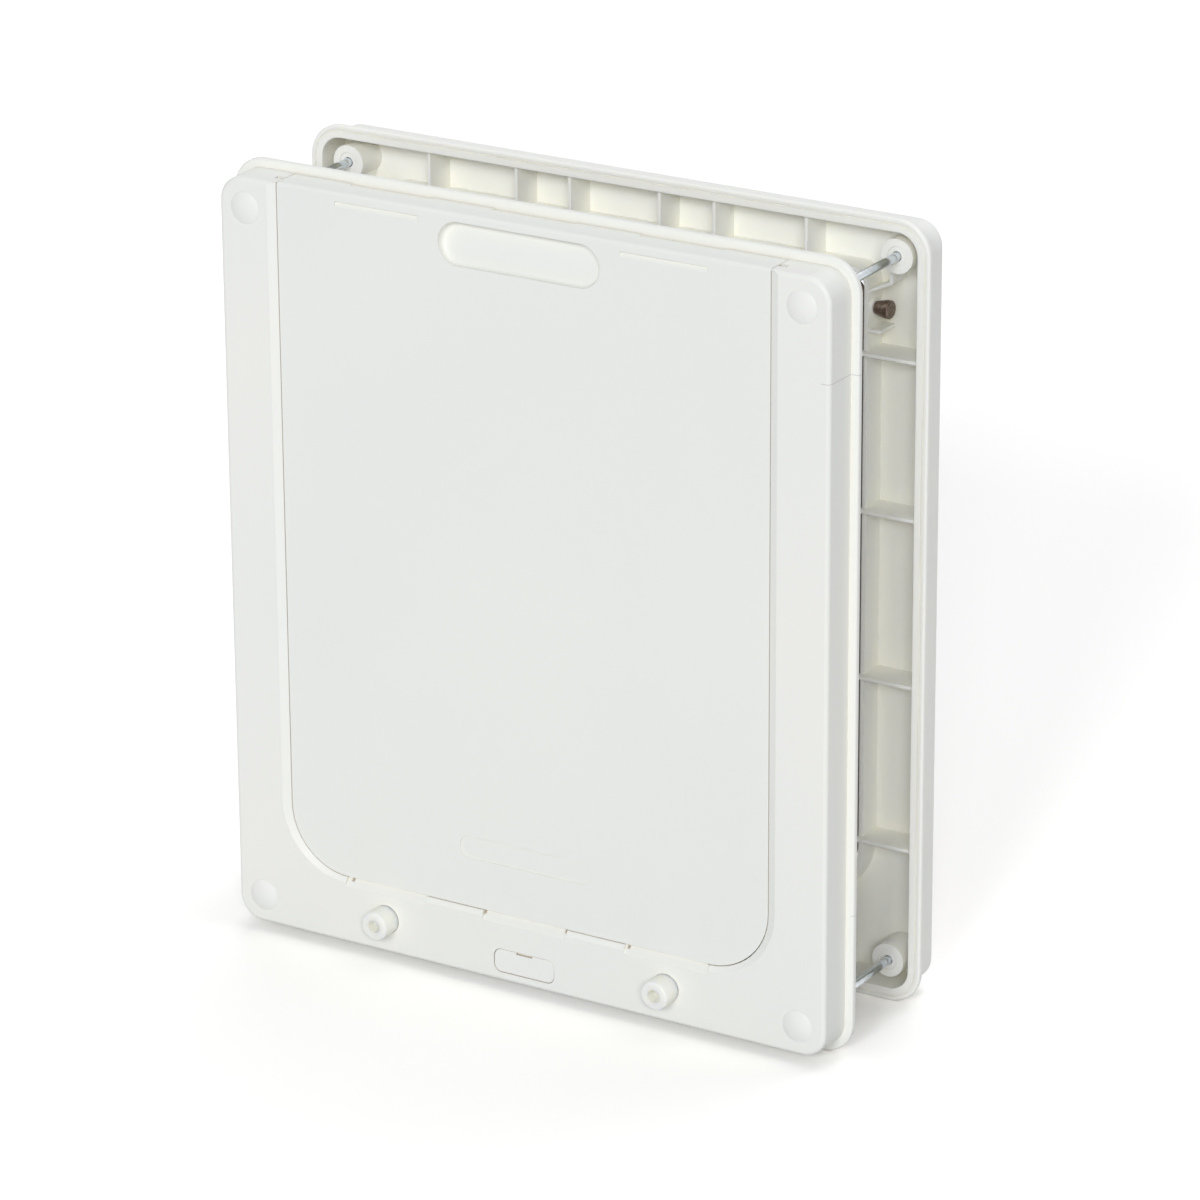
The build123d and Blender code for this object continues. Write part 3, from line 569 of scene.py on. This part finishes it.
def bolt_kit():
    """Clamp bolts at the corners: socket head, smooth shank and a rolled thread at the far end."""
    kit = Kit("clamp_bolt_kit", {
        "Spacing Across": 0.355,
        "Spacing Up": 0.415,
        "Shank Radius": 2.5 * MM,
        "Shank Length": 94.8 * MM,
        "Thread Length": 17.1 * MM,
        "Thread Pitch": 0.8 * MM,
        "Thread Depth": 0.42 * MM,
        "Head Radius": 4.5 * MM,
        "Head Height": 3.4 * MM,
        "Head Edge": HEAD_EDGE,
        "Socket Flats": 4.0 * MM,
        "Socket Depth": 2.0 * MM,
    })
    given = kit.given
    half = kit.half
    head_core = kit.maths("SUBTRACT", given["Head Height"], given["Head Edge"])
    head = kit.put("GeometryNodeMeshCylinder", {
        "Vertices": 40, "Radius": given["Head Radius"], "Depth": head_core,
    }).outputs["Mesh"]
    head = kit.moved(head, kit.point(z=half(head_core)))
    crown_radius = kit.maths("SUBTRACT", given["Head Radius"], given["Head Edge"])
    crown = kit.put("GeometryNodeMeshCone", {
        "Vertices": 40,
        "Radius Top": given["Head Radius"],
        "Radius Bottom": crown_radius,
        "Depth": given["Head Edge"],
    }).outputs["Mesh"]
    crown = kit.moved(crown, kit.point(z=kit.minus(given["Head Edge"])))
    socket_radius = kit.maths("DIVIDE", half(given["Socket Flats"]), math.cos(math.radians(30)))
    socket = kit.put("GeometryNodeMeshCylinder", {
        "Vertices": 6, "Radius": socket_radius, "Depth": kit.maths("MULTIPLY", given["Socket Depth"], 2.0),
    }).outputs["Mesh"]
    socket = kit.moved(socket, kit.point(z=kit.minus(given["Head Edge"])))
    cut_head, cut_crown = (kit.cut(part, socket) for part in (head, crown))
    shank = kit.put("GeometryNodeMeshCylinder", {
        "Vertices": 40, "Radius": given["Shank Radius"], "Depth": given["Shank Length"],
    }).outputs["Mesh"]
    shank = kit.moved(shank, kit.point(z=kit.maths("ADD", head_core, half(given["Shank Length"]))))
    thread_start = kit.maths("ADD", head_core, given["Shank Length"])
    root_radius = kit.maths("SUBTRACT", given["Shank Radius"], given["Thread Depth"])
    core = kit.put("GeometryNodeMeshCylinder", {
        "Vertices": 24, "Radius": root_radius, "Depth": given["Thread Length"],
    }).outputs["Mesh"]
    core = kit.moved(core, kit.point(z=kit.maths("ADD", thread_start, half(given["Thread Length"]))))
    ridge_long = kit.maths("SUBTRACT", given["Thread Length"], given["Thread Pitch"])
    ridge_path = kit.put("GeometryNodeCurveSpiral", {
        "Resolution": 20, "Rotations": kit.maths("DIVIDE", ridge_long, given["Thread Pitch"]),
        "Start Radius": root_radius, "End Radius": root_radius, "Height": ridge_long,
    }).outputs["Curve"]
    ridge_path = kit.put("GeometryNodeSetCurveNormal", {"Curve": ridge_path}, mode="Z_UP").outputs["Curve"]
    ridge_shape = kit.put("GeometryNodeCurvePrimitiveCircle", {
        "Resolution": 4, "Radius": given["Thread Depth"],
    }).outputs["Curve"]
    ridge = kit.put("GeometryNodeCurveToMesh", {
        "Curve": ridge_path, "Profile Curve": ridge_shape, "Fill Caps": True,
    }).outputs["Mesh"]
    ridge = kit.moved(ridge, kit.point(z=kit.maths("ADD", thread_start, half(given["Thread Pitch"]))))
    bolt = kit.joined(cut_head, cut_crown, shank, core, ridge)
    bolt = kit.moved(bolt, turn=(math.radians(-90), 0.0, 0.0))
    corners = kit.put("GeometryNodeMeshGrid", {
        "Size X": given["Spacing Across"], "Size Y": given["Spacing Up"],
        "Vertices X": 2, "Vertices Y": 2,
    }).outputs["Mesh"]
    corners = kit.moved(corners, turn=(math.radians(90), 0.0, 0.0))
    bolts = kit.put("GeometryNodeInstanceOnPoints", {"Points": corners, "Instance": bolt})
    bolts = kit.put("GeometryNodeRealizeInstances", {"Geometry": bolts.outputs["Instances"]})
    bolts = bolts.outputs["Geometry"]
    kit.end(kit.painted(bolts, zinc))
    return kit


def draught_brushes():
    """The three brushes round the flap, in place of the plain bars of the CAD model."""
    kit = brush_kit()
    meshes = []
    for name, toward, up in (
        ("draught_brush_left", Vector((1, 0, 0)), Vector((0, 0, 1))),
        ("draught_brush_right", Vector((-1, 0, 0)), Vector((0, 0, 1))),
        ("draught_brush_sill", Vector((0, 0, 1)), Vector((-1, 0, 0))),
    ):
        low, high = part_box(name)
        span = high - low
        length = max(span)
        mesh = kit.baked(name, {
            "Length": length,
            "Holder Width": span.y,
            "Pile Height": abs(span.dot(toward)),
            "Fibres in Row": round(length / FIBRE_PITCH),
        })
        middle = (low + high) / 2
        foot = middle - toward * abs(span.dot(toward)) / 2
        turn = Matrix((toward, up.cross(toward), up)).transposed().to_4x4()
        mesh.transform(Matrix.Translation(foot) @ turn)
        meshes.append(mesh)
    brushes = piece("draught_brushes", meshes)
    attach(brushes, "root")
    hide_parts("draught_brush_left", "draught_brush_right", "draught_brush_sill")


def clamp_bolts():
    """The four clamp bolts with their sockets and threads, in place of the plain ones."""
    boxes = [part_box(name) for name in numbered("clamp_bolt")]
    low = Vector([min(box[0][axis] for box in boxes) for axis in range(3)])
    high = Vector([max(box[1][axis] for box in boxes) for axis in range(3)])
    head_radius = (boxes[0][1].x - boxes[0][0].x) / 2
    mesh = bolt_kit().baked("clamp_bolts", {
        "Spacing Across": high.x - low.x - 2 * head_radius,
        "Spacing Up": high.z - low.z - 2 * head_radius,
        "Head Radius": head_radius,
    })
    middle = (low + high) / 2
    mesh.transform(Matrix.Translation((middle.x, low.y + HEAD_EDGE, middle.z)))
    bolts = piece("clamp_bolts", [mesh])
    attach(bolts, "root")
    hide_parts(*numbered("clamp_bolt"))


draught_brushes()
clamp_bolts()


def long_lens_camera():
    """Camera of the photograph, looking down at the door from its front right."""
    sin_a, cos_a = math.sin(CAMERA_AZIMUTH), math.cos(CAMERA_AZIMUTH)
    sin_e, cos_e = math.sin(CAMERA_ELEVATION), math.cos(CAMERA_ELEVATION)
    ahead = Vector((-sin_a * cos_e, cos_a * cos_e, -sin_e))
    level_right = Vector((cos_a, sin_a, 0.0))
    level_up = level_right.cross(ahead)
    right = math.cos(CAMERA_ROLL) * level_right + math.sin(CAMERA_ROLL) * level_up
    up = math.cos(CAMERA_ROLL) * level_up - math.sin(CAMERA_ROLL) * level_right
    lens = bpy.data.cameras.new("long_lens")
    lens.sensor_width = SENSOR
    lens.lens = FOCAL_PIXELS * SENSOR / PICTURE_SIDE
    lens.clip_start = 0.1
    lens.clip_end = FLOOR_SIDE
    camera = bpy.data.objects.new("long_lens", lens)
    bpy.context.scene.collection.objects.link(camera)
    turn = Matrix((right, up, -ahead)).transposed().to_4x4()
    camera.matrix_world = Matrix.Translation(CAMERA_PLACE) @ turn
    bpy.context.scene.camera = camera


# Studio: a dim white room and three soft lamps. Each lamp has the side and the height it shines
# from and how broad it looks from the door, all in degrees, and its strength
ROOM_LIGHT = 0.31
LIGHT_TINT = (0.985, 0.995, 1.03)
SOFT_LAMPS = (
    ("key_lamp", 33, 22, 18, 1.06),
    ("front_lamp", 11, 24, 14, 0.88),
    ("top_lamp", 180, 60, 50, 1.04),
)

# Floor: its width, how much light it sends back to the door, and how pale it is to look at
FLOOR_SIDE = 40.0
FLOOR_BOUNCE = 0.65
FLOOR_SEEN = 1.32


def seen_directly(tree):
    """1 for what the camera sees straight on, mirrored or through glass, otherwise 0."""
    paths = tree.nodes.new("ShaderNodeLightPath")
    seen = paths.outputs["Is Camera Ray"]
    for name in ("Is Glossy Ray", "Is Transmission Ray"):
        either = tree.nodes.new("ShaderNodeMath")
        either.operation = "MAXIMUM"
        tree.links.new(seen, either.inputs[0])
        tree.links.new(paths.outputs[name], either.inputs[1])
        seen = either.outputs["Value"]
    return seen


def white_room():
    """World that lights the door evenly and dimly, and is plain white to look at."""
    world = bpy.data.worlds.new("white_room")
    world.use_nodes = True
    tree = world.node_tree
    tree.nodes.clear()
    tone = tree.nodes.new("ShaderNodeMix")
    tone.data_type = "RGBA"
    tone.inputs[6].default_value = (*(ROOM_LIGHT * share for share in LIGHT_TINT), 1.0)
    tone.inputs[7].default_value = (1.0, 1.0, 1.0, 1.0)
    tree.links.new(seen_directly(tree), tone.inputs["Factor"])
    background = tree.nodes.new("ShaderNodeBackground")
    tree.links.new(tone.outputs[2], background.inputs["Color"])
    output = tree.nodes.new("ShaderNodeOutputWorld")
    tree.links.new(background.outputs["Background"], output.inputs["Surface"])
    bpy.context.scene.world = world


def soft_lamp(name, side, height, breadth, strength):
    """Broad lamp so far off that it lights the whole floor alike."""
    lamp = bpy.data.lights.new(name, "SUN")
    lamp.angle = math.radians(breadth)
    lamp.energy = strength
    lamp.color = LIGHT_TINT
    across, up = math.radians(side), math.radians(height)
    level = Vector((math.sin(across), -math.cos(across), 0.0))
    shines_from = math.cos(up) * level + math.sin(up) * Vector((0.0, 0.0, 1.0))
    stand = bpy.data.objects.new(name, lamp)
    bpy.context.scene.collection.objects.link(stand)
    stand.matrix_world = shines_from.to_track_quat("Z", "Y").to_matrix().to_4x4()


def pale_floor():
    """Floor that stays white to look at and keeps the door's soft shadow."""
    mesh = bpy.data.meshes.new("pale_floor")
    shape = bmesh.new()
    bmesh.ops.create_grid(shape, x_segments=1, y_segments=1, size=FLOOR_SIDE / 2)
    shape.to_mesh(mesh)
    shape.free()
    floor = bpy.data.objects.new("pale_floor", mesh)
    bpy.context.scene.collection.objects.link(floor)
    material = bpy.data.materials.new("pale_floor")
    material.use_nodes = True
    tree = material.node_tree
    tree.nodes.clear()
    tone = tree.nodes.new("ShaderNodeMix")
    tone.data_type = "RGBA"
    tone.clamp_result = False
    tone.inputs[6].default_value = (FLOOR_BOUNCE, FLOOR_BOUNCE, FLOOR_BOUNCE, 1.0)
    tone.inputs[7].default_value = (*(FLOOR_SEEN / share for share in LIGHT_TINT), 1.0)
    tree.links.new(seen_directly(tree), tone.inputs["Factor"])
    paint = tree.nodes.new("ShaderNodeBsdfDiffuse")
    tree.links.new(tone.outputs[2], paint.inputs["Color"])
    output = tree.nodes.new("ShaderNodeOutputMaterial")
    tree.links.new(paint.outputs["BSDF"], output.inputs["Surface"])
    mesh.materials.append(material)


long_lens_camera()
white_room()
for lamp in SOFT_LAMPS:
    soft_lamp(*lamp)
pale_floor()
bpy.context.scene.view_settings.view_transform = "Standard"
